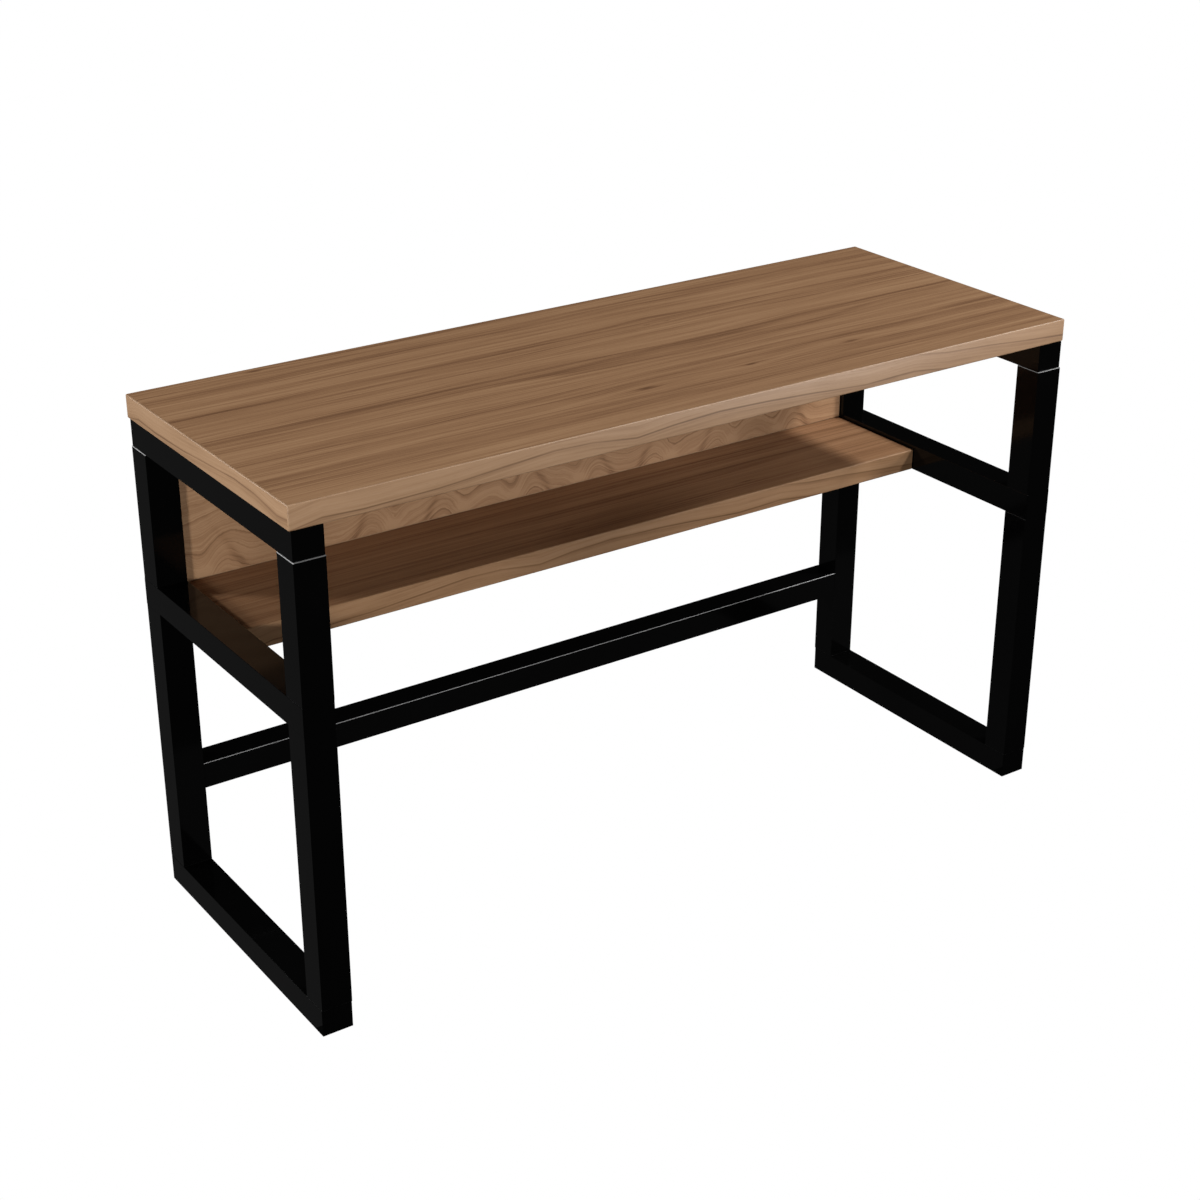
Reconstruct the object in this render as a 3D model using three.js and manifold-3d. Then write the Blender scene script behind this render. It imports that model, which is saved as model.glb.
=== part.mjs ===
// Computer desk: a thick laminated desktop on two black steel side frames, with a fixed
// keyboard shelf and a back panel between the frames and a stretcher low down at the back.
// Millimetres, +Z up, user at -Y. Origin: on the floor, at the centre of the footprint.

import * as THREE from 'three';
import { mergeVertices } from 'three/addons/utils/BufferGeometryUtils.js';
import Module from 'manifold-3d';

const wasm = await Module();
wasm.setup();

// ---- Driving dimensions ----

// Desktop
const topLength = 1210;
const topDepth = 450;
const topThickness = 32;
const deskHeight = 720;

// Shelf and back panel
const shelfThickness = 32;
const shelfSetback = 241.5; // desktop's front edge to the shelf's front edge
const shelfHeight = 426; // floor to the underside of the shelf and of the middle rails
const panelThickness = 25;
const panelSetback = 7.15; // rear legs' front face to the back panel's front face

// Edging glued round every board, and its rounded outer edges
const edgingThickness = 2;
const edgingRadius = 2;

// Steel box tube of the side frames and stretcher
const tubeWidth = 42.5; // across the desk, and front to back on the stretcher
const legDepth = 41.5; // front to back
const railHeight = 38;
const tubeWall = 1.5;
const tubeRadius = 1.5;
const stretcherHeight = 151; // floor to the stretcher's underside

// Small steps between neighbouring faces
const legInset = 2; // desktop's side edge to the legs' outer face
const legProud = 1.25; // front legs stand ahead of the desktop's front edge
const legBackInset = 0.65; // desktop's rear edge to the rear legs' back face
const railProud = 0.25; // middle and bottom rails stand outside the legs' outer face
const topRailOuterStep = 0.6; // top rails stand inside the legs' outer face
const topRailInnerStep = 0.4; // and outside the legs' inner face
const topRailEndStep = 1.55; // rail ends stop short of the legs' front and back faces
const middleRailEndStep = 0;
const bottomRailEndStep = 1.05;

// Plates that close the rails' ends
const capThickness = 3;

// Fixings. A margin is measured to the fixing's axis.
const desktopScrew = { diameter: 6, headDiameter: 12, headHeight: 3.5, socket: 4, countersunk: false };
const desktopScrewBite = 20; // how far it reaches into the desktop
const desktopScrewMargin = 70; // from the legs, along the rail
const boardScrew = { diameter: 5, headDiameter: 9.5, headHeight: 2.6, socket: 3, countersunk: true };
const shelfScrewLength = 28;
const panelScrewLength = 62;
const panelScrewMargin = 160; // from the panel's ends
const dowelDiameter = 8;
const dowelLength = 36;
const dowelMargin = 210; // from the panel's ends
const lugWidth = 30; // along the rail
const lugReach = 34;
const lugThickness = 3;
const lugMargin = 45; // from the shelf's front and rear edges
const screwTip = 4;

// Clearance left between pieces that touch
const fit = 0.3;

const arcSteps = 3;
const roundSides = 16;

// ---- Places worked out from them ----

const legOuter = topLength / 2 - legInset;
const legInner = legOuter - tubeWidth;
const railOuter = legOuter + railProud;
const railInner = railOuter - tubeWidth;
const topRailOuter = legOuter - topRailOuterStep;
const topRailInner = legInner + topRailInnerStep;

// Along Y, first from the desktop's front edge, then moved so that the footprint is centred
const legsFront = -legProud;
const legsBack = topDepth - legBackInset;
const rearLegFront = legsBack - legDepth;
const stretcherBack = rearLegFront + tubeWidth;
const footprintMiddle = (Math.min(0, legsFront) + Math.max(topDepth, legsBack, stretcherBack)) / 2;
const alongY = (fromFrontEdge) => fromFrontEdge - footprintMiddle;

const topUnderside = deskHeight - topThickness;
const topRailBottom = topUnderside - railHeight;
const middleRailTop = shelfHeight + railHeight;
const shelfTop = shelfHeight + shelfThickness;
const panelFront = rearLegFront + panelSetback;
const panelBack = panelFront + panelThickness;
const panelMiddle = (panelFront + panelBack) / 2;
const panelEnd = legInner - fit;
const shelfEnd = railInner - fit;

// ---- Materials ----

const laminate = () => new THREE.MeshStandardMaterial({ color: 0x8b6a4d, roughness: 0.55, metalness: 0 });
const edging = () => new THREE.MeshStandardMaterial({ color: 0xae8d6c, roughness: 0.5, metalness: 0 });
const blackSteel = () => new THREE.MeshStandardMaterial({ color: 0x0d0d0e, roughness: 0.3, metalness: 0.1 });
const zincSteel = () => new THREE.MeshStandardMaterial({ color: 0xa9abad, roughness: 0.35, metalness: 0.9 });
const beech = () => new THREE.MeshStandardMaterial({ color: 0xc9a678, roughness: 0.7, metalness: 0 });

// ---- Solids ----

function toSolid(geometry) {
  const bare = new THREE.BufferGeometry();
  bare.setAttribute('position', geometry.getAttribute('position').clone());
  bare.setIndex(geometry.index ? geometry.index.clone() : null);
  const merged = mergeVertices(bare, 1e-4);
  return new wasm.Manifold(new wasm.Mesh({
    numProp: 3,
    vertProperties: new Float32Array(merged.getAttribute('position').array),
    triVerts: new Uint32Array(merged.index.array),
  }));
}

function toGeometry(solid) {
  const mesh = solid.getMesh();
  const geometry = new THREE.BufferGeometry();
  geometry.setAttribute('position', new THREE.BufferAttribute(mesh.vertProperties, 3));
  geometry.setIndex(new THREE.BufferAttribute(mesh.triVerts, 1));
  geometry.computeVertexNormals();
  return geometry;
}

function cut(geometry, cutters) {
  const whole = cutters.reduce((solid, cutter) => solid.subtract(toSolid(cutter)), toSolid(geometry));
  return toGeometry(whole);
}

function common(first, second) {
  return toGeometry(toSolid(first).intersect(toSolid(second)));
}

function block(low, high) {
  const size = high.map((value, axis) => value - low[axis]);
  const middle = high.map((value, axis) => (value + low[axis]) / 2);
  return new THREE.BoxGeometry(...size).translate(...middle);
}

function roundedRectangle(width, height, radius) {
  const [x, y] = [width / 2 - radius, height / 2 - radius];
  const shape = new THREE.Shape();
  shape.absarc(x, -y, radius, -Math.PI / 2, 0);
  shape.absarc(x, y, radius, 0, Math.PI / 2);
  shape.absarc(-x, y, radius, Math.PI / 2, Math.PI);
  shape.absarc(-x, -y, radius, Math.PI, Math.PI * 1.5);
  return shape;
}

// A section swept along Z and centred on the origin
function bar(shape, length) {
  const options = { depth: length, bevelEnabled: false, curveSegments: arcSteps };
  return new THREE.ExtrudeGeometry(shape, options).translate(0, 0, -length / 2);
}

const turnedAlong = {
  x: (geometry) => geometry.rotateX(Math.PI / 2).rotateZ(Math.PI / 2),
  y: (geometry) => geometry.rotateX(Math.PI / 2),
  z: (geometry) => geometry,
};

// A box tube, open at both ends, centred on the origin
function boxTube(width, height, length, axis) {
  const outside = bar(roundedRectangle(width, height, tubeRadius), length);
  const bore = new THREE.BoxGeometry(width - 2 * tubeWall, height - 2 * tubeWall, length + 2);
  return turnedAlong[axis](cut(outside, [bore]));
}

// A round piece standing on its lower end, from [radius, height] points
function turned(points) {
  const outline = points.map(([radius, height]) => new THREE.Vector2(radius, height));
  return new THREE.LatheGeometry(outline, roundSides).rotateX(Math.PI / 2);
}

// A screw pointing up, its head at the bottom; with a clearance it is the hole for that screw
function screwBody(screw, length, clearance = 0) {
  const shank = screw.diameter / 2 + clearance;
  const head = screw.headDiameter / 2 + clearance;
  const rim = screw.countersunk ? [[head, 0], [shank, screw.headHeight]]
    : [[head, 0], [head, screw.headHeight + clearance], [shank, screw.headHeight + clearance]];
  return turned([
    [0, -clearance], [head, -clearance], ...rim,
    [shank, length - screwTip + clearance], [0, length + clearance],
  ]);
}

function screwShape(screw, length) {
  const socketDepth = screw.headHeight * 0.8;
  const socket = new THREE.CylinderGeometry(screw.socket / 2, screw.socket / 2, socketDepth * 2, 6);
  return cut(screwBody(screw, length), [socket.rotateX(Math.PI / 2)]);
}

function dowelShape(clearance = 0) {
  const radius = dowelDiameter / 2 + clearance;
  const half = dowelLength / 2 + clearance;
  return turned([[0, -half], [radius - 1, -half], [radius, 1 - half], [radius, half - 1], [radius - 1, half], [0, half]]);
}

// ---- The assembly ----

const desk = new THREE.Group();

function add(group, name, geometry, material, place = [0, 0, 0]) {
  const mesh = new THREE.Mesh(geometry, material);
  mesh.name = name;
  mesh.position.set(...place);
  group.add(mesh);
}

// A board in its own frame: length along X, width along Y, thickness along Z, centred on the
// origin. It is cut from one blank with rounded edges into a core and the edging on four sides.
function addBoard(group, name, size, sides, cutters = []) {
  const [length, width, thickness] = size;
  const plan = bar(roundedRectangle(length, width, edgingRadius), thickness);
  const lengthwise = turnedAlong.x(bar(roundedRectangle(width, thickness, edgingRadius), length));
  const crosswise = turnedAlong.y(bar(roundedRectangle(length, thickness, edgingRadius), width));
  const blank = common(common(plan, lengthwise), crosswise);

  const [x, y, z] = [length / 2, width / 2, thickness / 2];
  const [seamX, seamY] = [x - edgingThickness, y - edgingThickness];
  const regions = {
    core: block([-seamX + fit, -seamY + fit, -z], [seamX - fit, seamY - fit, z]),
    [`edge_${sides.low}`]: block([-x, -y, -z], [x, -seamY, z]),
    [`edge_${sides.high}`]: block([-x, seamY, -z], [x, y, z]),
    edge_left: block([-x, -seamY + fit, -z], [-seamX, seamY - fit, z]),
    edge_right: block([seamX, -seamY + fit, -z], [x, seamY - fit, z]),
  };
  for (const [part, region] of Object.entries(regions)) {
    const finish = part === 'core' ? laminate() : edging();
    add(group, `${name}_${part}`, cut(common(blank, region), cutters), finish);
  }
}

// Where the fixings stand: [x, y] from the desktop's front edge, and the height of their foot
const desktopScrewX = (topRailOuter + topRailInner) / 2;
const desktopScrewPlaces = {
  front: legsFront + legDepth + desktopScrewMargin,
  rear: rearLegFront - desktopScrewMargin,
};
const desktopScrewFoot = topRailBottom - desktopScrew.headHeight - fit;
const desktopScrewLength = topUnderside + desktopScrewBite - desktopScrewFoot;
const lugMiddleX = railInner - fit - lugReach / 2;
const lugPlaces = { front: shelfSetback + lugMargin, rear: panelBack - lugMargin };
const panelScrewPlaces = { left: panelScrewMargin - panelEnd, middle: 0, right: panelEnd - panelScrewMargin };
const dowelPlaces = { left: dowelMargin - panelEnd, right: panelEnd - dowelMargin };
const dowelMiddle = topUnderside - fit;
const mirrored = { left: -1, right: 1 };

// Desktop, resting on the two top rails
function addDesktop() {
  const middle = [0, alongY(topDepth / 2), topUnderside + topThickness / 2];
  const toBoard = (geometry, x, y, z) => geometry.translate(x, alongY(y) - middle[1], z - middle[2]);
  const holes = Object.values(dowelPlaces)
    .map((x) => toBoard(dowelShape(fit), x, panelMiddle, dowelMiddle));
  for (const side of Object.values(mirrored)) {
    for (const y of Object.values(desktopScrewPlaces)) {
      const hole = screwBody(desktopScrew, desktopScrewLength, fit);
      holes.push(toBoard(hole, side * desktopScrewX, y, desktopScrewFoot));
    }
  }
  const group = new THREE.Group();
  group.position.set(...middle);
  addBoard(group, 'desktop', [topLength, topDepth, topThickness], { low: 'front', high: 'rear' }, holes);
  desk.add(group);
}

// Keyboard shelf, fixed between the middle rails, its underside flush with theirs
function addShelf() {
  const depth = panelBack - shelfSetback;
  const middle = [0, alongY(shelfSetback + depth / 2), shelfHeight + shelfThickness / 2];
  const toBoard = (geometry, x, y, z) => geometry.translate(x, alongY(y) - middle[1], z - middle[2]);
  const holes = Object.values(panelScrewPlaces)
    .map((x) => toBoard(screwBody(boardScrew, panelScrewLength, fit), x, panelMiddle, shelfHeight));
  for (const side of Object.values(mirrored)) {
    for (const y of Object.values(lugPlaces)) {
      const [reach, half] = [lugReach / 2 + 2 * fit, lugWidth / 2 + fit];
      const recess = block([-reach, -half, -fit], [reach, half, lugThickness + fit]);
      holes.push(toBoard(recess, side * lugMiddleX, y, shelfHeight));
      holes.push(toBoard(screwBody(boardScrew, shelfScrewLength, fit), side * lugMiddleX, y, shelfHeight));
    }
  }
  const group = new THREE.Group();
  group.position.set(...middle);
  addBoard(group, 'shelf', [2 * shelfEnd, depth, shelfThickness], { low: 'front', high: 'rear' }, holes);
  desk.add(group);
}

// Back panel, standing on the shelf between the rear legs, up to the desktop
function addBackPanel() {
  const [low, high] = [shelfTop + fit, topUnderside - fit];
  const middle = (low + high) / 2;
  // In the panel's own frame X is along the desk, Y is up and Z faces the user
  const upright = (geometry, x, height) => geometry.rotateX(-Math.PI / 2).translate(x, height - middle, 0);
  const screwHoles = Object.values(panelScrewPlaces)
    .map((x) => upright(screwBody(boardScrew, panelScrewLength, fit), x, shelfHeight));
  const dowelHoles = Object.values(dowelPlaces)
    .map((x) => upright(dowelShape(fit), x, dowelMiddle));
  const group = new THREE.Group();
  group.rotation.x = Math.PI / 2;
  group.position.set(0, alongY(panelMiddle), middle);
  const size = [2 * panelEnd, high - low, panelThickness];
  addBoard(group, 'back_panel', size, { low: 'bottom', high: 'top' }, [...screwHoles, ...dowelHoles]);
  desk.add(group);
}

// A rail from front to back with a plate let into each end
function addRail(name, outer, inner, bottom, endStep, holes = []) {
  const width = Math.abs(outer - inner);
  const [front, back] = [legsFront + endStep, legsBack - endStep];
  const middle = [(outer + inner) / 2, alongY((front + back) / 2), bottom + railHeight / 2];
  const group = new THREE.Group();
  group.position.set(...middle);
  const tube = boxTube(width, railHeight, back - front, 'y');
  const local = holes.map(({ geometry, at }) => geometry.translate(...at.map((v, i) => v - middle[i])));
  add(group, name, local.length ? cut(tube, local) : tube, blackSteel());

  const clear = 2 * (tubeWall + fit);
  const capReach = (back - front - capThickness) / 2;
  for (const [end, sign] of [['front', -1], ['rear', 1]]) {
    const plate = new THREE.BoxGeometry(width - clear, capThickness, railHeight - clear);
    add(group, `${name}_${end}_cap`, plate, blackSteel(), [0, sign * capReach, 0]);
  }
  desk.add(group);
}

// Three rails and four lengths of leg on each side
function addSideFrame(side, sign) {
  const screwHoles = Object.values(desktopScrewPlaces).map((y) => ({
    geometry: screwBody(desktopScrew, desktopScrewLength, fit),
    at: [sign * desktopScrewX, alongY(y), desktopScrewFoot],
  }));
  const topRail = topRailBottom - fit;
  addRail(`${side}_top_rail`, sign * topRailOuter, sign * topRailInner, topRail, topRailEndStep, screwHoles);
  addRail(`${side}_middle_rail`, sign * railOuter, sign * railInner, shelfHeight, middleRailEndStep);
  addRail(`${side}_bottom_rail`, sign * railOuter, sign * railInner, 0, bottomRailEndStep);

  const legX = sign * (legOuter + legInner) / 2;
  const legs = { front: legsFront + legDepth / 2, rear: legsBack - legDepth / 2 };
  const lengths = {
    upper: [middleRailTop + fit, topRail - fit],
    lower: [railHeight + fit, shelfHeight - fit],
  };
  for (const [end, y] of Object.entries(legs)) {
    for (const [part, [low, high]] of Object.entries(lengths)) {
      const tube = boxTube(tubeWidth, legDepth, high - low, 'z');
      add(desk, `${side}_${end}_leg_${part}`, tube, blackSteel(), [legX, alongY(y), (low + high) / 2]);
    }
  }
}

// Stretcher between the rear legs, its front face flush with theirs
function addStretcher() {
  const tube = boxTube(tubeWidth, railHeight, 2 * (legInner - fit), 'x');
  const place = [0, alongY(rearLegFront + tubeWidth / 2), stretcherHeight + railHeight / 2];
  add(desk, 'rear_stretcher', tube, blackSteel(), place);
}

// Lugs welded inside the middle rails, and every screw and dowel
function addFixings() {
  for (const [side, sign] of Object.entries(mirrored)) {
    for (const [end, y] of Object.entries(desktopScrewPlaces)) {
      const place = [sign * desktopScrewX, alongY(y), desktopScrewFoot];
      const shape = screwShape(desktopScrew, desktopScrewLength);
      add(desk, `${side}_desktop_screw_${end}`, shape, zincSteel(), place);
    }
    for (const [end, y] of Object.entries(lugPlaces)) {
      const place = [sign * lugMiddleX, alongY(y), shelfHeight];
      const blank = block([-lugReach / 2, -lugWidth / 2, 0], [lugReach / 2, lugWidth / 2, lugThickness]);
      const lug = cut(blank, [screwBody(boardScrew, shelfScrewLength, fit)]);
      add(desk, `${side}_shelf_lug_${end}`, lug, blackSteel(), place);
      const shape = screwShape(boardScrew, shelfScrewLength);
      add(desk, `${side}_shelf_screw_${end}`, shape, zincSteel(), place);
    }
  }
  for (const [part, x] of Object.entries(panelScrewPlaces)) {
    const shape = screwShape(boardScrew, panelScrewLength);
    add(desk, `back_panel_screw_${part}`, shape, zincSteel(), [x, alongY(panelMiddle), shelfHeight]);
  }
  for (const [part, x] of Object.entries(dowelPlaces)) {
    add(desk, `back_panel_dowel_${part}`, dowelShape(), beech(), [x, alongY(panelMiddle), dowelMiddle]);
  }
}

addDesktop();
addShelf();
addBackPanel();
for (const [side, sign] of Object.entries(mirrored)) addSideFrame(side, sign);
addStretcher();
addFixings();

export default desk;
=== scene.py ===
import math
from contextlib import contextmanager

import bmesh
import bpy
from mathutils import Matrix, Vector


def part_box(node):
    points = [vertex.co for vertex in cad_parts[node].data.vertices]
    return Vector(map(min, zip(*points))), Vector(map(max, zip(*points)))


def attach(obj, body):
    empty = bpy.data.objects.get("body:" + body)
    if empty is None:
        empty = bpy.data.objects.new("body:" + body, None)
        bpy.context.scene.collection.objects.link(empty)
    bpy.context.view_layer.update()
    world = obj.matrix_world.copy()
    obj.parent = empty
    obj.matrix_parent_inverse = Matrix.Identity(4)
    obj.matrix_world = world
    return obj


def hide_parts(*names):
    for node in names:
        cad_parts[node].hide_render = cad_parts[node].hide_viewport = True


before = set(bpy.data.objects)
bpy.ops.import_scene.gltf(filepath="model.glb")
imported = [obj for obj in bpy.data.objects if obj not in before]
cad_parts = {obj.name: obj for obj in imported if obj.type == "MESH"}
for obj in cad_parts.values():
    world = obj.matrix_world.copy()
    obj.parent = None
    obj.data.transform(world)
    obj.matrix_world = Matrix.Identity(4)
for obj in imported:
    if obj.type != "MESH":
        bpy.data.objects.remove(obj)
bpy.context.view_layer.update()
scene = bpy.context.scene
scene.view_settings.view_transform = "Standard"
mm = 0.001
sides = ("left", "right")
print("frame loaded:", len(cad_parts), "nodes")


class Value:
    # one output of a node; arithmetic on it adds Math nodes
    def __init__(self, finish, socket):
        self.finish = finish
        self.socket = socket

    def maths(self, operation, *others, clamp=False):
        values = dict(enumerate([self, *others]))
        settings = {"operation": operation, "use_clamp": clamp}
        return self.finish.node("ShaderNodeMath", settings, values)

    def __add__(self, other):
        return self.maths("ADD", other)

    def __radd__(self, other):
        return self.maths("ADD", other)

    def __sub__(self, other):
        return self.maths("SUBTRACT", other)

    def __rsub__(self, other):
        return (self * -1) + other

    def __mul__(self, other):
        return self.maths("MULTIPLY", other)

    def __rmul__(self, other):
        return self.maths("MULTIPLY", other)

    def __truediv__(self, other):
        return self.maths("DIVIDE", other)

    def __pow__(self, other):
        return self.maths("POWER", other)

    def __abs__(self):
        return self.maths("ABSOLUTE")

    def fraction(self):
        return self.maths("FRACT")

    def clamped(self):
        return self.maths("ADD", 0.0, clamp=True)

    def hump(self):
        # 1 at zero, falling away smoothly on both sides
        return (self * self * -1).maths("EXPONENT")


class Finish:
    # one material, and the only place where its nodes are made
    def __init__(self, name):
        self.material = bpy.data.materials.new(name)
        self.material.use_nodes = True
        self.tree = self.material.node_tree
        self.tree.nodes.clear()
        self.output = self.node("ShaderNodeOutputMaterial")

    def node(self, kind, settings=None, sockets=None, output=0):
        node = self.tree.nodes.new(kind)
        for key, value in (settings or {}).items():
            if key == "ramp":
                self.shapeRamp(node.color_ramp, value)
            else:
                setattr(node, key, value)
        for key, value in (sockets or {}).items():
            if isinstance(value, Value):
                self.tree.links.new(value.socket, node.inputs[key])
            else:
                node.inputs[key].default_value = value
        return Value(self, node.outputs[output]) if node.outputs else node

    def shapeRamp(self, ramp, stops):
        while len(ramp.elements) > 1:
            ramp.elements.remove(ramp.elements[-1])
        for index, (place, colour) in enumerate(stops):
            element = ramp.elements[0] if index == 0 else ramp.elements.new(place)
            element.position = place
            element.color = (*colour, 1)

    def place(self, move=(0, 0, 0), stretch=(1, 1, 1)):
        # object coordinates, stretched and moved
        coordinates = self.node("ShaderNodeTexCoord", output="Object")
        return self.node("ShaderNodeMapping", {}, {
            "Vector": coordinates, "Location": move, "Scale": stretch})

    def split(self, vector):
        first = self.node("ShaderNodeSeparateXYZ", {}, {0: vector})
        return [Value(self, socket) for socket in first.socket.node.outputs]

    def stretched(self, point, sizes):
        # the three coordinates multiplied by the three sizes
        x, y, z = (coordinate * size for coordinate, size in zip(point, sizes))
        return self.node("ShaderNodeCombineXYZ", {}, {0: x, 1: y, 2: z})

    def noise(self, vector, scale=1.0, detail=2.0, roughness=0.5):
        return self.node("ShaderNodeTexNoise", {}, {
            "Vector": vector, "Scale": scale, "Detail": detail, "Roughness": roughness})

    def grain(self, point, layer):
        # stretched noise about zero; a layer holds its stretch, detail, roughness and weight
        stretch, detail, roughness, weight = layer
        cloud = self.noise(self.stretched(point, stretch), detail=detail, roughness=roughness)
        return (cloud - 0.5) * weight

    def ramp(self, value, stops):
        return self.node("ShaderNodeValToRGB", {"ramp": stops}, {0: value})

    def blend(self, factor, first, second):
        settings = {"data_type": "RGBA"}
        return self.node("ShaderNodeMix", settings, {0: factor, 6: first, 7: second}, output=2)

    def bump(self, height, strength, distance):
        return self.node("ShaderNodeBump", {}, {
            "Height": height, "Strength": strength, "Distance": distance})

    def show(self, shader):
        # sends a shader to the material's surface
        self.tree.links.new(shader.socket, self.output.inputs[0])
        return self.material

    def finish(self, sockets):
        return self.show(self.node("ShaderNodeBsdfPrincipled", {}, sockets))


# Colours are linear. Lengths are in metres. Noises are stretch, detail, roughness and weight.
wood = {
    "stops": {"dark": 0.0, "deep": 0.3, "middle": 0.58, "paintedHighlights": 1.0},
    "poreStretch": (70, 1500, 300), "poreDetail": 2, "poreRoughness": 0.6,
    "poreLevel": 0.60, "poreContrast": 7,
    "poreShade": 0.35, "poreDarkening": 0.72, "poreMatt": 0.15, "darkMatt": 0.08,
    "relief": 0.25, "bump": 0.25, "bumpDepth": 0.06 * mm,
}
laminateLook = {
    "dark": (0.118, 0.056, 0.026), "deep": (0.196, 0.100, 0.049),
    "middle": (0.285, 0.156, 0.079), "paintedHighlights": (0.370, 0.218, 0.118),
    "roughness": 0.50, "gloss": 0.28,
}
edgingLook = {
    "dark": (0.140, 0.074, 0.036), "deep": (0.235, 0.132, 0.068),
    "middle": (0.310, 0.184, 0.100), "paintedHighlights": (0.375, 0.235, 0.138),
    "roughness": 0.46, "gloss": 0.5,
}


def tinted(look, gains, gloss):
    # the same look with its colours multiplied and another gloss
    colours = {shade: tuple(c * gain for c, gain in zip(look[shade], gains)) for shade in wood["stops"]}
    return {**look, **colours, "gloss": gloss}


# painted light: the desktop gets a brighter copy of the laminate, standing in for more light on its top
desktopBrightenedLook = tinted(laminateLook, (1.17, 1.17, 1.17), 0.28)
# painted shade: the shelf's laminate and edging get redder, slightly darker copies, standing in for the
# shade under the desktop
shelfShadedLook = tinted(laminateLook, (1.01, 0.965, 0.95), 0.10)
shelfEdgeShadedLook = tinted(edgingLook, (1.0, 0.95, 0.90), 0.20)


def grey(stops):
    return [(place, (tone, tone, tone)) for place, tone in stops]


def finePores(finish, along, across, depth):
    # short open pores, a few tenths of a millimetre wide and up to 20 mm long
    pores = finish.noise(finish.stretched((along, across, depth), wood["poreStretch"]),
                         detail=wood["poreDetail"], roughness=wood["poreRoughness"])
    return ((pores - wood["poreLevel"]) * wood["poreContrast"]).clamped()


def woodSurface(finish, look, tone, pores):
    # tone is 0 for the darkest grain and 1 for the palest
    colour = finish.ramp(tone, [(stop, look[shade]) for shade, stop in wood["stops"].items()])
    darker = tuple(c * wood["poreDarkening"] for c in look["deep"]) + (1,)
    colour = finish.blend(pores * wood["poreShade"], colour, darker)
    roughness = look["roughness"] + pores * wood["poreMatt"] + (0.5 - tone) * wood["darkMatt"]
    height = tone * wood["relief"] - pores
    return finish.finish({
        "Base Color": colour, "Roughness": roughness, "Specular IOR Level": look["gloss"],
        "Normal": finish.bump(height, wood["bump"], wood["bumpDepth"])})


# The laminate's printed sheet. Places along it are from its middle, places across it are
# shares of its width from its rear edge. Left and right of the mirror line it is alike.
sheet = {
    "length": 1210 * mm, "width": 450 * mm, "mirrorLine": 122 * mm,
    "tone": 0.57, "contrast": 0.95,
    # streaks: place across, and tone
    "profile": [
        (0.0, 0.40), (0.012, 0.38), (0.03, 0.62), (0.06, 0.60), (0.085, 0.47), (0.115, 0.45),
        (0.15, 0.58), (0.178, 0.66), (0.205, 0.50), (0.232, 0.70), (0.262, 0.68), (0.275, 0.34),
        (0.30, 0.46), (0.345, 0.44), (0.374, 0.66), (0.398, 0.50), (0.42, 0.70), (0.478, 0.66),
        (0.490, 0.37), (0.503, 0.47), (0.515, 0.38), (0.535, 0.64), (0.60, 0.62), (0.66, 0.66),
        (0.697, 0.44), (0.72, 0.62), (0.74, 0.46), (0.785, 0.66), (0.83, 0.40), (0.855, 0.58),
        (0.89, 0.44), (0.93, 0.64)],
    # small eyes: place along, place across, and size
    "eyes": [(-0.047, 0.791, 1.0), (0.122, 0.791, 0.55), (0.293, 0.791, 1.0),
             (-0.432, 0.030, 0.8), (0.106, 0.315, 0.35), (0.141, 0.315, 0.35)],
    "eyeBend": {"along": 0.045, "across": 0.028, "shift": 0.012},
    # an eye's spot and halo: length, width and shade
    "eyeMarks": [(0.013, 0.0075, 0.45), (0.042, 0.010, 0.20)],
    "belly": {"reach": 0.30, "place": 0.585, "width": 0.055, "shift": 0.018, "streakShift": 0.054},
    "crest": {"reach": 0.20, "place": 0.22, "width": 0.08, "shift": 0.016},
    "drift": ((2.2, 4.5, 5), 2, 0.5, 0.055),
    "ripple": ((7, 20, 5), 2, 0.5, 0.010),
    "fading": ((1.7, 9, 5), 1, 0.5, 0.90),
    "layers": [((1.0, 15, 9), 3, 0.55, 0.45), ((2.2, 60, 20), 5, 0.7, 1.10),
               ((4.5, 240, 60), 4, 0.7, 1.70)],
}


def streakedLaminate(name, box, look):
    # the sheet's print is stretched over the board: streaks along X, thin dark lines, small eyes
    finish = Finish(name)
    low, high = box
    length, width = high.x - low.x, high.y - low.y
    x, y, z = finish.split(finish.place(
        move=(0, -high.y / width, 0), stretch=(sheet["length"] / length, 1 / width, 1)))
    share = y * -1
    mirror = abs(x - sheet["mirrorLine"])
    across = share + finish.grain((mirror, share, z), sheet["drift"])
    across = across + finish.grain((x, share, z), sheet["ripple"])
    belly, crest, bend = sheet["belly"], sheet["crest"], sheet["eyeBend"]
    bulge = ((mirror / belly["reach"]) ** 2).hump() * ((share - belly["place"]) / belly["width"]).hump()
    rise = (mirror / crest["reach"]).hump() * ((share - crest["place"]) / crest["width"]).hump()
    across = across + rise * crest["shift"] - bulge * belly["shift"]
    for eyeX, eyeShare, size in sheet["eyes"]:
        aside = (share - eyeShare) / (bend["across"] * size)
        near = ((x - eyeX) / (bend["along"] * size)).hump() * aside.hump()
        across = across - aside * near * bend["shift"]
    profile = finish.ramp(across - bulge * belly["streakShift"], grey(sheet["profile"]))
    strength = sheet["contrast"] + finish.grain((x, across, z), sheet["fading"])
    tone = sheet["tone"] + (profile - sheet["tone"]) * strength
    for layer in sheet["layers"]:
        tone = tone + finish.grain((x, across, z), layer)
    for eyeX, eyeShare, size in sheet["eyes"]:
        for markLength, markWidth, shade in sheet["eyeMarks"]:
            along = (x - eyeX) / (markLength * size)
            tone = tone - along.hump() * ((share - eyeShare) / (markWidth * size)).hump() * shade
    pores = finePores(finish, x, share * sheet["width"], z)
    return woodSurface(finish, look, tone.clamped(), pores)


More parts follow.
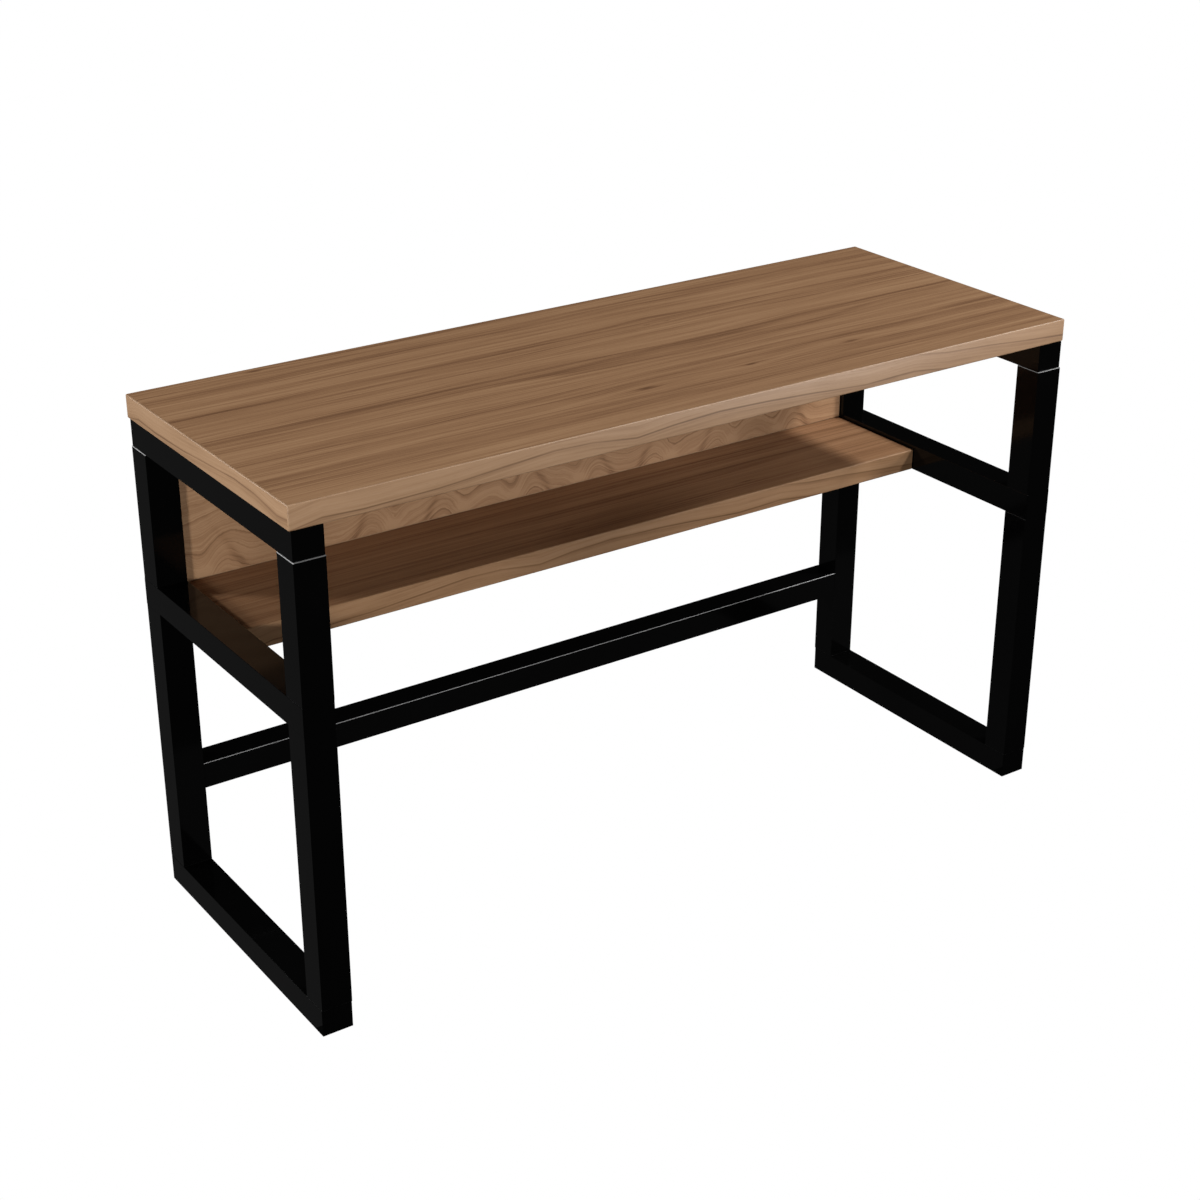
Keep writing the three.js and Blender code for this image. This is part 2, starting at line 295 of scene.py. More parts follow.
# The back panel's figure: flames along its foot, more level lines higher up
figure = {
    # flames: place along X, and the side that the pale heart is on
    "flames": [(-0.501, -1), (-0.281, 1), (-0.167, 1), (-0.017, -1), (0.095, -1),
               (0.200, 1), (0.314, 1), (0.464, -1)],
    "foot": 4 * mm, "fadeHeight": 55 * mm, "lift": 25 * mm,
    "archWidth": 25 * mm, "dipPlace": 34 * mm, "dipWidth": 20 * mm, "dipDepth": 0.70,
    "flankPlace": 30 * mm, "flankLean": 0.62, "flankWidth": 6.5 * mm, "flankShade": 0.34,
    "heartPlace": 31 * mm, "heartWidth": 11 * mm, "heartLevel": 8 * mm,
    "heartHeight": 9 * mm, "heartShade": 0.48,
    "ringsPerMetre": 22, "ringSharpness": 22, "ringShade": 0.50, "tone": 0.77,
    "stir": ((19, 30, 10), 4, 0.6, 1.0), "stirAcross": 10 * mm, "stirUp": 16 * mm,
    "wide": ((5, 8, 6), 2, 0.5, 40 * mm),
    "mottle": ((30, 42, 20), 3, 0.5, 0.25),
    "layers": [((2.0, 60, 3.0), 2, 0.5, 0.80), ((3.5, 230, 5.0), 3, 0.6, 1.10),
               ((8, 800, 7.0), 2, 0.5, 0.90)],
}


def figuredLaminate(name, foot, look):
    # the lines are lifted into an arch at each flame; one flank is dark and its heart pale
    finish = Finish(name)
    x, y, z = finish.split(finish.place())
    height = z - foot
    stir = finish.grain((x, z, y), figure["stir"])
    sway = x + stir * figure["stirAcross"]
    calm = ((height - figure["foot"]) / figure["fadeHeight"]).hump()
    lift = shade = 0
    for flameX, heart in figure["flames"]:
        aside = (sway - flameX) * heart
        dip = ((aside - figure["dipPlace"]) / figure["dipWidth"]).hump() * figure["dipDepth"]
        flank = aside + figure["flankPlace"] - height * figure["flankLean"]
        flank = (flank / figure["flankWidth"]).hump() * figure["flankShade"]
        middle = ((aside - figure["heartPlace"]) / figure["heartWidth"]).hump()
        middle = middle * ((height - figure["heartLevel"]) / figure["heartHeight"]).hump()
        lift = (aside / figure["archWidth"]).hump() - dip + lift
        shade = middle * figure["heartShade"] - flank + shade
    level = height - lift * calm * figure["lift"] + stir * figure["stirUp"]
    level = level + finish.grain((x, z, y), figure["wide"])
    ring = ((level + figure["foot"]) * figure["ringsPerMetre"]).fraction()
    tone = figure["tone"] + finish.grain((x, z, y), figure["mottle"])
    for layer in figure["layers"]:
        tone = tone + finish.grain((x, level, 1), layer)
    tone = tone + shade * calm - (ring ** figure["ringSharpness"]) * figure["ringShade"]
    return woodSurface(finish, look, tone.clamped(), finePores(finish, x, z, y))


# The edging: pale lengthwise grain and a dark line that wanders up and down
edgingLine = {
    # share of the length, and share of the board's height plus a half
    "path": [
        (0.0, 0.52), (0.035, 0.76), (0.08, 0.70), (0.16, 0.77), (0.25, 1.0), (0.295, 1.12),
        (0.34, 1.08), (0.395, 0.84), (0.44, 1.0), (0.5, 1.10), (0.57, 1.02), (0.63, 0.90),
        (0.70, 0.71), (0.77, 0.78), (0.82, 0.56), (0.88, 0.44), (0.94, 0.24), (1.0, 0.08)],
    "width": 1 * mm, "shadowWidth": 4.2 * mm, "shadowDrop": 0.7, "shadowShade": 0.35,
    "spacing": 22.5 * mm, "secondFrom": 0.74, "secondRise": 12,
    "tone": 0.62, "shade": 0.50, "weakest": 0.55, "weakLevel": 0.25, "weakContrast": 3.0,
    "slow": ((8, 3, 6), 2, 0.5, 2 * mm), "weak": ((5, 1, 4), 1, 0.5, 1.0),
    "hair": ((9, 30, 420), 4, 0.65, 0.95), "soft": ((4, 10, 110), 2, 0.5, 0.60),
    "mottle": ((22, 20, 90), 3, 0.5, 0.24),
}


def darkLine(distance):
    # a thin line with a soft shadow under it
    shadow = (distance / edgingLine["shadowWidth"] + edgingLine["shadowDrop"]).hump()
    return (distance / edgingLine["width"]).hump() + shadow * edgingLine["shadowShade"]


def linedEdging(name, along, box, part=1.0, look=edgingLook):
    # part is how much of the line's path is used; less than all of it runs the other way
    finish = Finish(name)
    low, high = box
    x, y, z = finish.split(finish.place())
    run, across = (x, y) if along == "x" else (y, x)
    start, length = getattr(low, along), getattr(high - low, along)
    share = (run - start) / length if part == 1 else (length + start - run) * (part / length)
    path = (finish.ramp(share, grey(edgingLine["path"])) - 0.5) * (high.z - low.z)
    above = z - low.z - path - finish.grain((share, across, z), edgingLine["slow"])
    late = ((share - edgingLine["secondFrom"]) * edgingLine["secondRise"]).clamped()
    line = darkLine(above) + late * darkLine(above - edgingLine["spacing"])
    weak = finish.grain((share, across, z), edgingLine["weak"]) + 0.5
    strength = ((weak - edgingLine["weakLevel"]) * edgingLine["weakContrast"]).clamped()
    strength = edgingLine["weakest"] + strength * (1 - edgingLine["weakest"])
    tone = edgingLine["tone"] + finish.grain((share, across, above), edgingLine["hair"])
    tone = tone + finish.grain((share, across, above), edgingLine["soft"])
    tone = tone + finish.grain((run, across, z), edgingLine["mottle"])
    tone = tone - line * edgingLine["shade"] * strength
    return woodSurface(finish, look, tone.clamped(), finePores(finish, run, z, across))


paintLook = {
    "base": (0.0010, 0.0010, 0.0010, 1), "grime": (0.004, 0.004, 0.004, 1),
    "roughness": 0.10, "gloss": 0.26,
    "peelScale": 900, "patchScale": 14, "dustScale": 2600, "dustLevel": 0.72, "dustContrast": 8,
    "dustGrime": 0.3, "patchGrime": 0.2, "dustMatt": 0.1, "patchMatt": 0.03, "highlightMatt": 0.25,
    # how sharply a painted highlight line begins, per metre
    "highlightSharpness": 20000, "bump": 0.02, "bumpDepth": 0.05 * mm,
}
# Painted highlights: pale lines along some arrises and joints of the steel, where the lamps would catch
# them; how wide, and how pale
paintedHighlights = {
    "legs": 1 * mm, "legHighlight": 0.11, "outerHighlight": 0.34, "rightHighlight": 0.22,
    "joint": 0.35 * mm, "jointHighlight": 0.05, "footHighlight": 0.02,
    "stretcher": 0.8 * mm, "stretcherHighlight": 0.30,
}


def blackPaint(name, highlightArrises=()):
    # each painted highlight line along an arris has a width, a pale grey and the planes that it lies on
    finish = Finish(name)
    place = finish.place()
    peel = finish.noise(place, scale=paintLook["peelScale"], detail=2)
    patches = finish.noise(place, scale=paintLook["patchScale"], detail=3) - 0.5
    dust = finish.noise(place, scale=paintLook["dustScale"], detail=1) - paintLook["dustLevel"]
    dust = (dust * paintLook["dustContrast"]).clamped()
    grime = dust * paintLook["dustGrime"] + patches * paintLook["patchGrime"]
    colour = finish.blend(grime, paintLook["base"], paintLook["grime"])
    roughness = paintLook["roughness"] + patches * paintLook["patchMatt"] + dust * paintLook["dustMatt"]
    axes = dict(zip("xyz", finish.split(place)))
    # painted highlights: each line is mixed to its pale grey and made a little rougher
    for width, shade, planes in highlightArrises:
        highlight = 1
        for axis, level, sign in planes:
            inside = axes[axis] - level + sign * width
            highlight = (inside * (sign * paintLook["highlightSharpness"])).clamped() * highlight
        colour = finish.blend(highlight, colour, (shade, shade, shade, 1))
        roughness = roughness + highlight * paintLook["highlightMatt"]
    return finish.finish({
        "Base Color": colour, "Roughness": roughness, "Specular IOR Level": paintLook["gloss"],
        "Normal": finish.bump(peel, paintLook["bump"], paintLook["bumpDepth"])})


zincLook = {
    "colours": [(0.2, (0.42, 0.42, 0.41)), (0.8, (0.66, 0.66, 0.65))], "metal": 0.95,
    "cloudScale": 420, "roughness": 0.28, "cloudMatt": 0.2, "bump": 0.1, "bumpDepth": 0.1 * mm,
}


def zincPlate(name):
    finish = Finish(name)
    cloud = finish.noise(finish.place(), scale=zincLook["cloudScale"], detail=4, roughness=0.6)
    return finish.finish({
        "Base Color": finish.ramp(cloud, zincLook["colours"]), "Metallic": zincLook["metal"],
        "Roughness": zincLook["roughness"] + cloud * zincLook["cloudMatt"],
        "Normal": finish.bump(cloud, zincLook["bump"], zincLook["bumpDepth"])})


beechLook = {
    "colours": [(0.3, (0.44, 0.29, 0.16)), (0.7, (0.60, 0.42, 0.25))],
    "flecks": ((900, 900, 90), 3, 0.5, 1.0), "roughness": 0.6, "fleckMatt": 0.2,
    "bump": 0.2, "bumpDepth": 0.1 * mm,
}


def beechWood(name):
    finish = Finish(name)
    flecks = finish.grain(finish.split(finish.place()), beechLook["flecks"])
    return finish.finish({
        "Base Color": finish.ramp(flecks + 0.5, beechLook["colours"]),
        "Roughness": beechLook["roughness"] + flecks * beechLook["fleckMatt"],
        "Normal": finish.bump(flecks, beechLook["bump"], beechLook["bumpDepth"])})


desktopBox = [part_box("desktop_edge_front")[0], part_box("desktop_edge_rear")[1]]
shelfBox = [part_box("shelf_edge_front")[0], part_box("shelf_edge_rear")[1]]
panelBox = [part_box("back_panel_edge_bottom")[0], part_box("back_panel_edge_top")[1]]
desktopStreaks = streakedLaminate("walnut laminate desktop", desktopBox, desktopBrightenedLook)
shelfStreaks = streakedLaminate("walnut laminate shelf", shelfBox, shelfShadedLook)
panelFigure = figuredLaminate("walnut laminate panel", panelBox[0].z, laminateLook)
desktopLines = linedEdging("walnut edging desktop", "x", desktopBox)
shelfLines = linedEdging("walnut edging shelf", "x", shelfBox, look=shelfEdgeShadedLook)
panelLines = linedEdging("walnut edging panel", "x", panelBox)
endLines = linedEdging("walnut edging ends", "y", desktopBox, part=0.42)
shelfEndLines = linedEdging("walnut edging shelf ends", "y", shelfBox)

# Planes of the painted highlight lines: axis, level, and the side on which the steel ends
topRailFoot = ("z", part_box("left_top_rail")[0].z, 1)
middleRailTop = ("z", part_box("left_middle_rail")[1].z, -1)
middleRailFoot = ("z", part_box("left_middle_rail")[0].z, 1)
bottomRailTop = ("z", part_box("left_bottom_rail")[1].z, -1)
leftOuter = ("x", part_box("left_front_leg_upper")[0].x, -1)
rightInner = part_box("right_front_leg_lower")[0].x
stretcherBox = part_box("rear_stretcher")
paint = blackPaint("black paint")
# painted highlights along the tops of the upper legs, paler on the left outer sides and on the right legs,
# and faint lines where the left upper legs meet the middle rail on the outer side
upperPaint = blackPaint("black paint upper legs", [
    (paintedHighlights["legs"], paintedHighlights["legHighlight"], [topRailFoot]),
    (paintedHighlights["legs"], paintedHighlights["outerHighlight"], [topRailFoot, leftOuter]),
    (paintedHighlights["legs"], paintedHighlights["rightHighlight"], [topRailFoot, ("x", rightInner, 1)]),
    (paintedHighlights["joint"], paintedHighlights["jointHighlight"], [middleRailTop, leftOuter])])
# painted highlights: faint lines where the right lower legs meet the middle rail on their inner side, and
# at every foot
lowerPaint = blackPaint("black paint lower legs", [
    (paintedHighlights["joint"], paintedHighlights["jointHighlight"], [middleRailFoot, ("x", rightInner, -1), ("x", rightInner, 1)]),
    (paintedHighlights["joint"], paintedHighlights["footHighlight"], [bottomRailTop])])
# a painted highlight along the stretcher's top front arris
stretcherPaint = blackPaint("black paint stretcher", [
    (paintedHighlights["stretcher"], paintedHighlights["stretcherHighlight"], [
        ("z", stretcherBox[1].z, 1), ("y", stretcherBox[0].y, -1)])])
zinc = zincPlate("zinc plate")
beech = beechWood("beech")
print("materials made:", len(bpy.data.materials))


# Tolerances for telling faces, edges and corners apart
facing = 0.9
slack = 0.1 * mm
touching = 1e-6
roundShading = 32  # degrees


def choose(piece):
    bpy.ops.object.select_all(action="DESELECT")
    bpy.context.view_layer.objects.active = piece
    piece.select_set(True)


@contextmanager
def editing(piece, mode="FACE"):
    choose(piece)
    bpy.ops.object.mode_set(mode="EDIT")
    bpy.ops.mesh.select_mode(type=mode)
    bpy.ops.mesh.select_all(action="DESELECT")
    yield bmesh.from_edit_mesh(piece.data)
    bpy.ops.object.mode_set(mode="OBJECT")


def pick(piece, parts, test):
    # selects the faces or edges of the mesh being edited that pass the test
    for part in parts:
        if test(part):
            part.select = True
    bmesh.update_edit_mesh(piece.data)


def settle(piece):
    choose(piece)
    bpy.ops.object.transform_apply(location=True, rotation=True, scale=True)


def startedPiece(name):
    # names the primitive that was just added and puts its place in its mesh
    piece = bpy.context.object
    piece.name = piece.data.name = name
    settle(piece)
    return piece


def startBox(name, low, high):
    bpy.ops.object.select_all(action="DESELECT")
    low, high = Vector(low), Vector(high)
    bpy.ops.mesh.primitive_cube_add(size=1, location=(low + high) / 2, scale=high - low)
    return startedPiece(name)


def startRound(name, radius, foot, height, facets=40):
    # an upright cylinder standing on its foot
    bpy.ops.object.select_all(action="DESELECT")
    middle = Vector(foot) + Vector((0, 0, height / 2))
    bpy.ops.mesh.primitive_cylinder_add(vertices=facets, radius=radius, depth=height, location=middle)
    return startedPiece(name)


def copyOf(piece, name, move=(0, 0, 0)):
    twin = piece.copy()
    twin.data = piece.data.copy()
    twin.name = twin.data.name = name
    scene.collection.objects.link(twin)
    twin.location = move
    settle(twin)
    return twin


def keepBelow(piece, point, normal):
    # cuts the piece with a plane, drops what lies ahead of it and closes the cut
    with editing(piece):
        bpy.ops.mesh.select_all(action="SELECT")
        bpy.ops.mesh.bisect(plane_co=point, plane_no=normal, use_fill=True,
                            clear_inner=False, clear_outer=True, threshold=1e-7)


def bevelEdges(piece, test, width, steps):
    with editing(piece, "EDGE") as mesh:
        pick(piece, mesh.edges, test)
        bpy.ops.mesh.bevel(offset=width, segments=steps, affect="EDGES", profile=0.5)


def cutOut(piece, cutters):
    for cutter in cutters:
        choose(piece)
        hole = piece.modifiers.new("hole", "BOOLEAN")
        hole.operation = "DIFFERENCE"
        hole.solver = "EXACT"
        hole.object = cutter
        bpy.ops.object.modifier_apply(modifier=hole.name)


def discard(pieces):
    for piece in pieces:
        bpy.data.objects.remove(piece)


def dress(piece, node, material, shading=roundShading):
    # gives a finished piece its material and body, and hides the node it stands for
    piece.data.materials.clear()
    piece.data.materials.append(material)
    choose(piece)
    bpy.ops.object.shade_smooth_by_angle(angle=math.radians(shading))
    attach(piece, "root")
    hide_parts(node)


def footOf(node):
    # the middle of the node's underside, and its height
    low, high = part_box(node)
    return Vector(((low.x + high.x) / 2, (low.y + high.y) / 2, low.z)), high.z - low.z


screws = {
    "desktop": {"diameter": 6 * mm, "head": 12 * mm, "headHeight": 3.5 * mm, "socket": 4 * mm,
                "countersunk": False, "tip": 4 * mm},
    "board": {"diameter": 5 * mm, "head": 9.5 * mm, "headHeight": 2.6 * mm, "socket": 3 * mm,
              "countersunk": True, "tip": 4 * mm},
    "play": 0.15 * mm, "rim": 0.35 * mm, "rimSteps": 3,
    "pointShare": 0.35,  # of the shank's width
    "socketShare": 0.75,  # of the head's height
}


def screwBlank(kind, length, play=0.0):
    # head down at the origin; with play it is the hole for that screw
    screw = screws[kind]
    shank, head = screw["diameter"] / 2 + play, screw["head"] / 2 + play
    piece = startRound("blank", head, (0, 0, -play), screw["headHeight"] + play)
    straight = length - screw["headHeight"] - screw["tip"] + play
    with editing(piece) as mesh:
        pick(piece, mesh.faces, lambda face: face.normal.z > facing)
        if screw["countersunk"]:
            bpy.ops.transform.resize(value=(shank / head, shank / head, 1))
        else:
            bpy.ops.mesh.inset(thickness=head - shank, depth=0)
        bpy.ops.mesh.extrude_region_move(TRANSFORM_OT_translate={"value": (0, 0, straight)})
        bpy.ops.mesh.extrude_region_move(TRANSFORM_OT_translate={"value": (0, 0, screw["tip"])})
        bpy.ops.transform.resize(value=(screws["pointShare"], screws["pointShare"], 1))
    return piece


def makeScrew(kind, length):
    screw = screws[kind]
    piece = screwBlank(kind, length)
    nearRim = screw["head"] / 2 * 0.98

    def onRim(edge):
        return all(v.co.z < slack and v.co.xy.length > nearRim for v in edge.verts)
    bevelEdges(piece, onRim, screws["rim"], screws["rimSteps"])
    depth = screw["headHeight"] * screws["socketShare"]
    corner = screw["socket"] / 2 / math.cos(math.pi / 6)
    socket = startRound("socket", corner, (0, 0, -depth), 2 * depth, 6)
    cutOut(piece, [socket])
    discard([socket])
    return piece


screwNodes = {
    "desktop": [f"{side}_desktop_screw_{end}" for side in sides for end in ("front", "rear")],
    "shelf": [f"{side}_shelf_screw_{end}" for side in sides for end in ("front", "rear")],
    "panel": [f"back_panel_screw_{part}" for part in ("left", "middle", "right")],
}
holes = {}
for group, nodes in screwNodes.items():
    kind = "desktop" if group == "desktop" else "board"
    length = footOf(nodes[0])[1]
    master = makeScrew(kind, length)
    hole = screwBlank(kind, length, screws["play"])
    holes[group] = []
    for node in nodes:
        foot = footOf(node)[0]
        dress(copyOf(master, f"{node}_piece", foot), node, zinc)
        holes[group].append(copyOf(hole, "hole", foot))
    discard([master, hole])

dowels = {"play": 0.15 * mm, "chamfer": 1 * mm, "chamferSteps": 2, "facets": 32}


def dowelRim(edge):
    return abs(edge.verts[0].co.z - edge.verts[1].co.z) < touching


holes["dowel"] = []
for side in sides:
    node = f"back_panel_dowel_{side}"
    foot, height = footOf(node)
    radius, play = (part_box(node)[1].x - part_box(node)[0].x) / 2, dowels["play"]
    dowel = startRound(f"{node}_piece", radius, foot, height, dowels["facets"])
    bevelEdges(dowel, dowelRim, dowels["chamfer"], dowels["chamferSteps"])
    dress(dowel, node, beech)
    bottom = foot - Vector((0, 0, play))
    holes["dowel"].append(startRound("hole", radius + play, bottom, height + 2 * play, dowels["facets"]))

lugs = {"corner": 3 * mm, "cornerSteps": 5, "play": 0.15 * mm, "rim": 0.3 * mm, "rimSteps": 2,
        "holeReach": 60 * mm}
holes["lug"] = []
for side in sides:
    for end in ("front", "rear"):
        node = f"{side}_shelf_lug_{end}"
        low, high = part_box(node)
        lug = startBox(f"{node}_piece", low, high)
        free = high.x if side == "left" else low.x

        def freeCorner(edge):
            first, second = edge.verts
            return abs(first.co.z - second.co.z) > 1 * mm and abs(first.co.x - free) < slack

        def underRim(edge):
            return all(v.co.z < low.z + slack for v in edge.verts)

        def inReach(hole):
            return (hole.data.vertices[0].co.xy - low.xy).length < lugs["holeReach"]
        bevelEdges(lug, freeCorner, lugs["corner"], lugs["cornerSteps"])
        bevelEdges(lug, underRim, lugs["rim"], lugs["rimSteps"])
        cutOut(lug, [hole for hole in holes["shelf"] if inReach(hole)])
        dress(lug, node, paint)
        play = Vector((1, 1, 1)) * lugs["play"]
        holes["lug"].append(startBox("recess", low - play, high + play))
print("screws, dowels and lugs made")


boards = {"edging": 2 * mm, "arris": 1.9 * mm, "arrisSteps": 6, "glueLine": 0.03 * mm, "shading": 10}


def makeBoard(name, box, ends, cutters, faceFinish, longFinish, endFinish):
    # a blank with rounded arrises, sawn into a core and four strips of edging
    low, high = box
    across, right = Vector(ends["across"]), Vector((1, 0, 0))
    gap = boards["glueLine"] / 2
    blank = startBox(f"{name}_blank", low, high)
    bevelEdges(blank, lambda edge: True, boards["arris"], boards["arrisSteps"])
    inLow = low + (right + across) * boards["edging"]
    inHigh = high - (right + across) * boards["edging"]
    between = [(inHigh - across * gap, across), (inLow + across * gap, -across)]
    lowStrip, highStrip = f"edge_{ends['low']}", f"edge_{ends['high']}"
    cuts = {
        "core": [(inHigh - right * gap, right), (inLow + right * gap, -right), *between],
        lowStrip: [(inLow - across * gap, across)],
        highStrip: [(inHigh + across * gap, -across)],
        "edge_left": [(inLow - right * gap, right), *between],
        "edge_right": [(inHigh + right * gap, -right), *between],
    }
    finishes = {"core": faceFinish, lowStrip: longFinish, highStrip: longFinish}
    for part, planes in cuts.items():
        piece = copyOf(blank, f"{name}_{part}_piece")
        for point, normal in planes:
            keepBelow(piece, point, normal)
        if part == "core":
            cutOut(piece, cutters)
        slot = "walnut_laminate" if part == "core" else "walnut_edging"
        dress(piece, f"{name}_{part}", finishes.get(part, endFinish), boards["shading"])
    discard([blank])


makeBoard("desktop", desktopBox, {"across": (0, 1, 0), "low": "front", "high": "rear"},
          holes["desktop"] + holes["dowel"], desktopStreaks, desktopLines, endLines)
makeBoard("shelf", shelfBox, {"across": (0, 1, 0), "low": "front", "high": "rear"},
          holes["shelf"] + holes["panel"] + holes["lug"], shelfStreaks, shelfLines, shelfEndLines)
makeBoard("back_panel", panelBox, {"across": (0, 0, 1), "low": "bottom", "high": "top"},
          holes["panel"] + holes["dowel"], panelFigure, panelLines, panelLines)
cutOut(bpy.data.objects["back_panel_edge_bottom_piece"], holes["panel"])
cutOut(bpy.data.objects["back_panel_edge_top_piece"], holes["dowel"])
print("boards made")


tubes = {"wall": 1.5 * mm, "corner": 0.5 * mm, "cornerSteps": 3, "mouth": 0.3 * mm, "mouthSteps": 2,
         "capRim": 0.25 * mm, "capRimSteps": 2, "capPlay": 0.04 * mm, "weldGap": 0.03 * mm,
         "topChamfer": 0.9 * mm, "shading": 10}


def makeTube(name, low, high, axis, holesInIt=()):
    # a box tube along the axis, open at both ends
    tube = startBox(name, low, high)
    middle = (low + high) / 2
    reach = [(high[i] - low[i]) / 2 for i in range(3)]
    crossways = [i for i in range(3) if i != axis]
    with editing(tube) as mesh:
        pick(tube, mesh.faces, lambda face: abs(face.normal[axis]) > facing)
        bpy.ops.mesh.inset(thickness=tubes["wall"], depth=0, use_individual=True)
        bpy.ops.mesh.delete(type="FACE")
    with editing(tube, "EDGE") as mesh:
        pick(tube, mesh.edges, lambda edge: edge.is_boundary)
        bpy.ops.mesh.bridge_edge_loops()
    with editing(tube):
        bpy.ops.mesh.select_all(action="SELECT")
        bpy.ops.mesh.normals_make_consistent(inside=False)

    def longCorner(edge):
        first, second = edge.verts
        return abs(first.co[axis] - second.co[axis]) > 1 * mm and all(
            abs(abs(v.co[i] - middle[i]) - reach[i]) < 10 * touching for v in edge.verts for i in crossways)
    bevelEdges(tube, longCorner, tubes["corner"], tubes["cornerSteps"])

    def mouthRim(edge):
        # an outer edge of the open end lies between the end face and a side that faces out
        atEnd = all(abs(abs(v.co[axis] - middle[axis]) - reach[axis]) < touching for v in edge.verts)
        if not atEnd or len(edge.link_faces) != 2:
            return False
        walls = [face for face in edge.link_faces if abs(face.normal[axis]) < 0.5]
        if not walls or all(abs(face.normal[axis]) < facing for face in edge.link_faces):
            return False
        return walls[0].normal.dot(walls[0].calc_center_median() - middle) > 0
    bevelEdges(tube, mouthRim, tubes["mouth"], tubes["mouthSteps"])
    cutOut(tube, holesInIt)
    return tube


def chamferTop(leg, low, high):
    # a flat chamfer round the top of the leg, under the top rail
    middle = (low + high) / 2
    nearSide = (high.x - low.x) / 2 - 1 * mm

    def outerRim(edge):
        centre = (edge.verts[0].co + edge.verts[1].co) / 2 - middle
        return (all(v.co.z > high.z - touching for v in edge.verts)
                and any(abs(face.normal.z) < facing for face in edge.link_faces)
                and max(abs(centre.x), abs(centre.y)) > nearSide)
    bevelEdges(leg, outerRim, tubes["topChamfer"], 1)


def makeCap(name, low, high, end):
    cap = startBox(name, low, high)
    face = low.y if end == "front" else high.y

    def outerEdge(edge):
        return all(abs(v.co.y - face) < touching for v in edge.verts)
    bevelEdges(cap, outerEdge, tubes["capRim"], tubes["capRimSteps"])
    return cap


def makeRail(side, part):
    node = f"{side}_{part}_rail"
    low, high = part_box(node)
    if part == "top":
        high = Vector((high.x, high.y, desktopBox[0].z - tubes["weldGap"]))
    rail = makeTube(f"{node}_piece", low, high, 1, holes["desktop"] if part == "top" else ())
    dress(rail, node, paint, tubes["shading"])
    inset = tubes["wall"] + tubes["capPlay"]
    for end in ("front", "rear"):
        capLow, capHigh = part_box(f"{node}_{end}_cap")
        capLow = Vector((low.x + inset, capLow.y, low.z + inset))
        capHigh = Vector((high.x - inset, capHigh.y, high.z - inset))
        cap = makeCap(f"{node}_{end}_cap_piece", capLow, capHigh, end)
        dress(cap, f"{node}_{end}_cap", paint, tubes["shading"])


def makeLeg(side, end, part, railBelow, railAbove):
    node = f"{side}_{end}_leg_{part}"
    low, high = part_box(node)
    low.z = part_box(f"{side}_{railBelow}_rail")[1].z + tubes["weldGap"]
    high.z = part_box(f"{side}_{railAbove}_rail")[0].z - tubes["weldGap"]
    leg = makeTube(f"{node}_piece", low, high, 2)
    if part == "upper":
        chamferTop(leg, low, high)
    dress(leg, node, upperPaint if part == "upper" else lowerPaint, tubes["shading"])


for side in sides:
    for part in ("top", "middle", "bottom"):
        makeRail(side, part)
    for end in ("front", "rear"):
        makeLeg(side, end, "lower", "bottom", "middle")
        makeLeg(side, end, "upper", "middle", "top")

low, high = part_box("rear_stretcher")
low.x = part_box("left_rear_leg_lower")[1].x + tubes["weldGap"]
high.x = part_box("right_rear_leg_lower")[0].x - tubes["weldGap"]
stretcher = makeTube("rear_stretcher_piece", low, high, 0)
dress(stretcher, "rear_stretcher", stretcherPaint, tubes["shading"])
discard([hole for group in holes.values() for hole in group])
print("steel frame made")


studio = {
    "floor": {"size": 60, "middle": (0, 0, -0.5 * mm), "glow": 1.0},
    "card": {"size": 16, "middle": (-5, 7.8, -2 * mm), "glow": 0.052},
    "domeRadius": 42, "domeGlow": 1.0, "worldGlow": 0.008,
    "aim": (0, 0, 0.5),
    "lamps": {
        "key": {"toward": (5.64, -3.20, 6.75), "distance": 9.36, "size": 1.0, "power": 650},
        "rear left": {"toward": (-0.82, 0.575, 0.30), "distance": 3.0, "size": 0.4, "power": 38},
        "front left": {"toward": (-0.6, -1, 0.05), "distance": 3.2, "size": 0.8, "power": 21},
        "right": {"toward": (1, -0.3, 0.35), "distance": 3.0, "size": 0.5, "power": 30},
        "near right": {"toward": (0.75, -1, 0.08), "distance": 1.8, "size": 0.5, "power": 11},
        "left": {"toward": (-0.94, -0.35, 0.15), "distance": 3.0, "size": 0.4, "power": 53},
    },
}
white = (1, 1, 1, 1)


def plainGlow(name, strength):
    finish = Finish(name)
    return finish.show(finish.node("ShaderNodeEmission", {}, {"Color": white, "Strength": strength}))


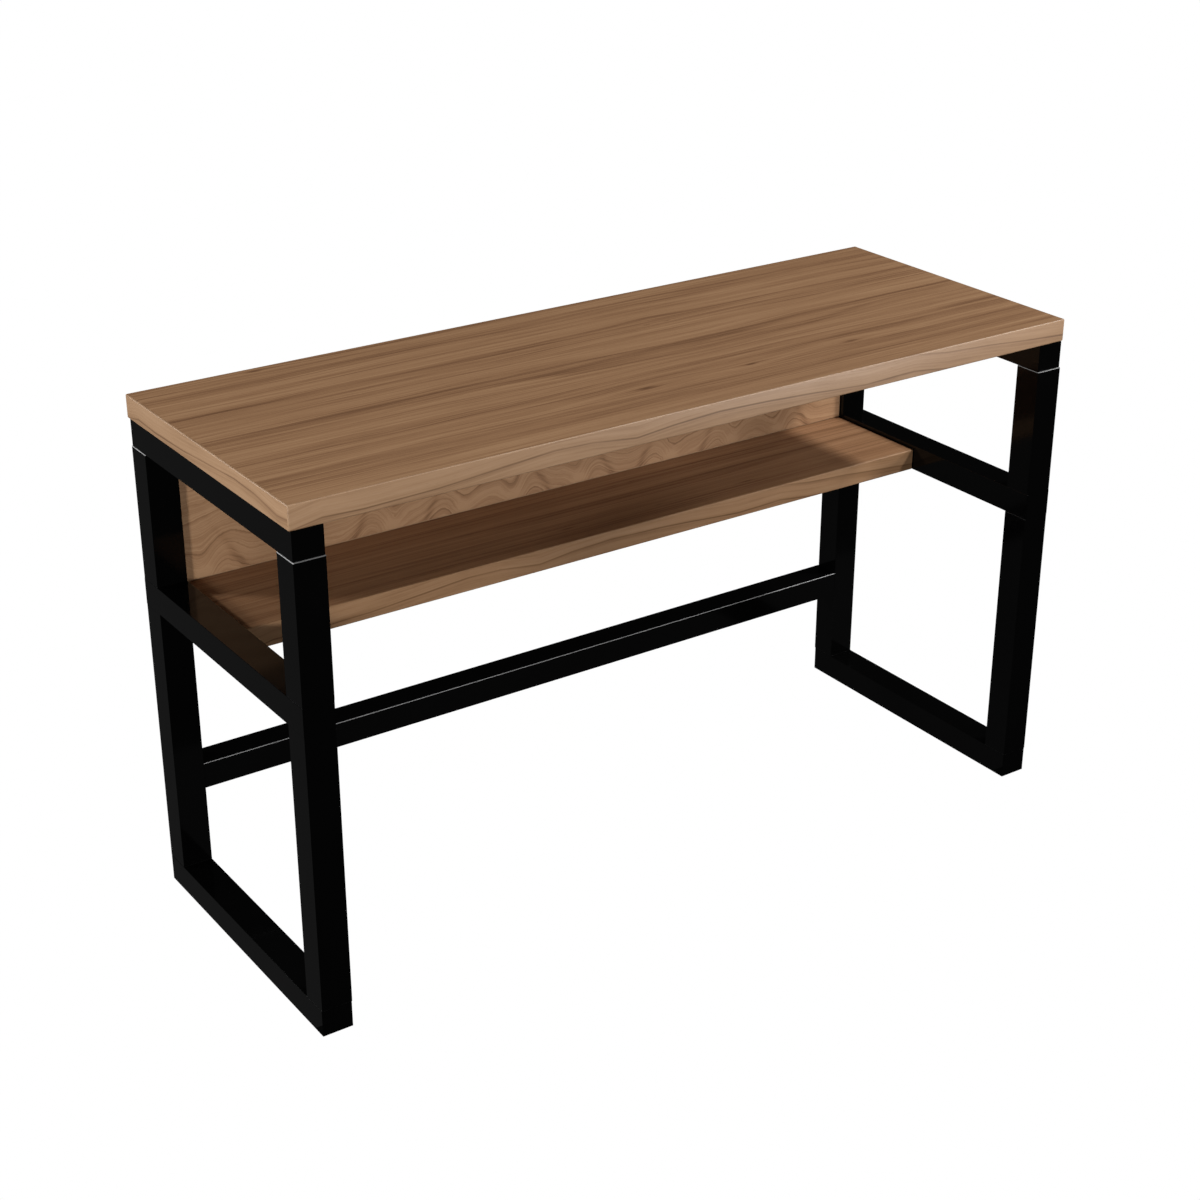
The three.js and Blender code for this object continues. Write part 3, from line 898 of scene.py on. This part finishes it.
def addSquare(name, look):
    # a plain glowing square that isn't part of the desk
    bpy.ops.object.select_all(action="DESELECT")
    bpy.ops.mesh.primitive_plane_add(size=look["size"], location=look["middle"])
    square = startedPiece(name)
    square.data.materials.append(plainGlow(name, look["glow"]))
    return square


def addLamp(name, look):
    toward = Vector(look["toward"]).normalized()
    light = bpy.data.lights.new(name, "AREA")
    light.shape = "DISK"
    light.size = look["size"]
    light.energy = look["power"]
    lamp = bpy.data.objects.new(name, light)
    scene.collection.objects.link(lamp)
    lamp.location = Vector(studio["aim"]) + toward * look["distance"]
    lamp.rotation_euler = toward.to_track_quat("Z", "Y").to_euler()
    lamp.visible_camera = False


# the floor is seen, but the desk doesn't reflect it
floor = addSquare("floor", studio["floor"])
floor.visible_glossy = False
floor.visible_diffuse = False

# the backdrop is only there for the camera
bpy.ops.object.select_all(action="DESELECT")
bpy.ops.mesh.primitive_uv_sphere_add(segments=48, ring_count=24, radius=studio["domeRadius"])
dome = startedPiece("backdrop")
dome.data.materials.append(plainGlow("backdrop", studio["domeGlow"]))
for ray in ("diffuse", "glossy", "transmission", "shadow"):
    setattr(dome, f"visible_{ray}", False)

# a faint card on the floor behind the desk, only there for reflections and bounce
reflector = addSquare("reflector", studio["card"])
reflector.visible_camera = False

world = bpy.data.worlds.new("studio")
scene.world = world
world.use_nodes = True
background = world.node_tree.nodes["Background"]
background.inputs["Color"].default_value = white
background.inputs["Strength"].default_value = studio["worldGlow"]
for name, look in studio["lamps"].items():
    addLamp(name, look)

view = {"position": (-1.5748, -2.2594, 1.6424), "tilt": 65.014, "turn": -34.371,
        "lens": 64.938, "sensor": 36, "farthest": 200}
cameraData = bpy.data.cameras.new("camera")
cameraData.lens = view["lens"]
cameraData.sensor_width = view["sensor"]
cameraData.clip_end = view["farthest"]
camera = bpy.data.objects.new("camera", cameraData)
scene.collection.objects.link(camera)
camera.location = view["position"]
camera.rotation_euler = (math.radians(view["tilt"]), 0, math.radians(view["turn"]))
scene.camera = camera
print("floor, lights and camera set")
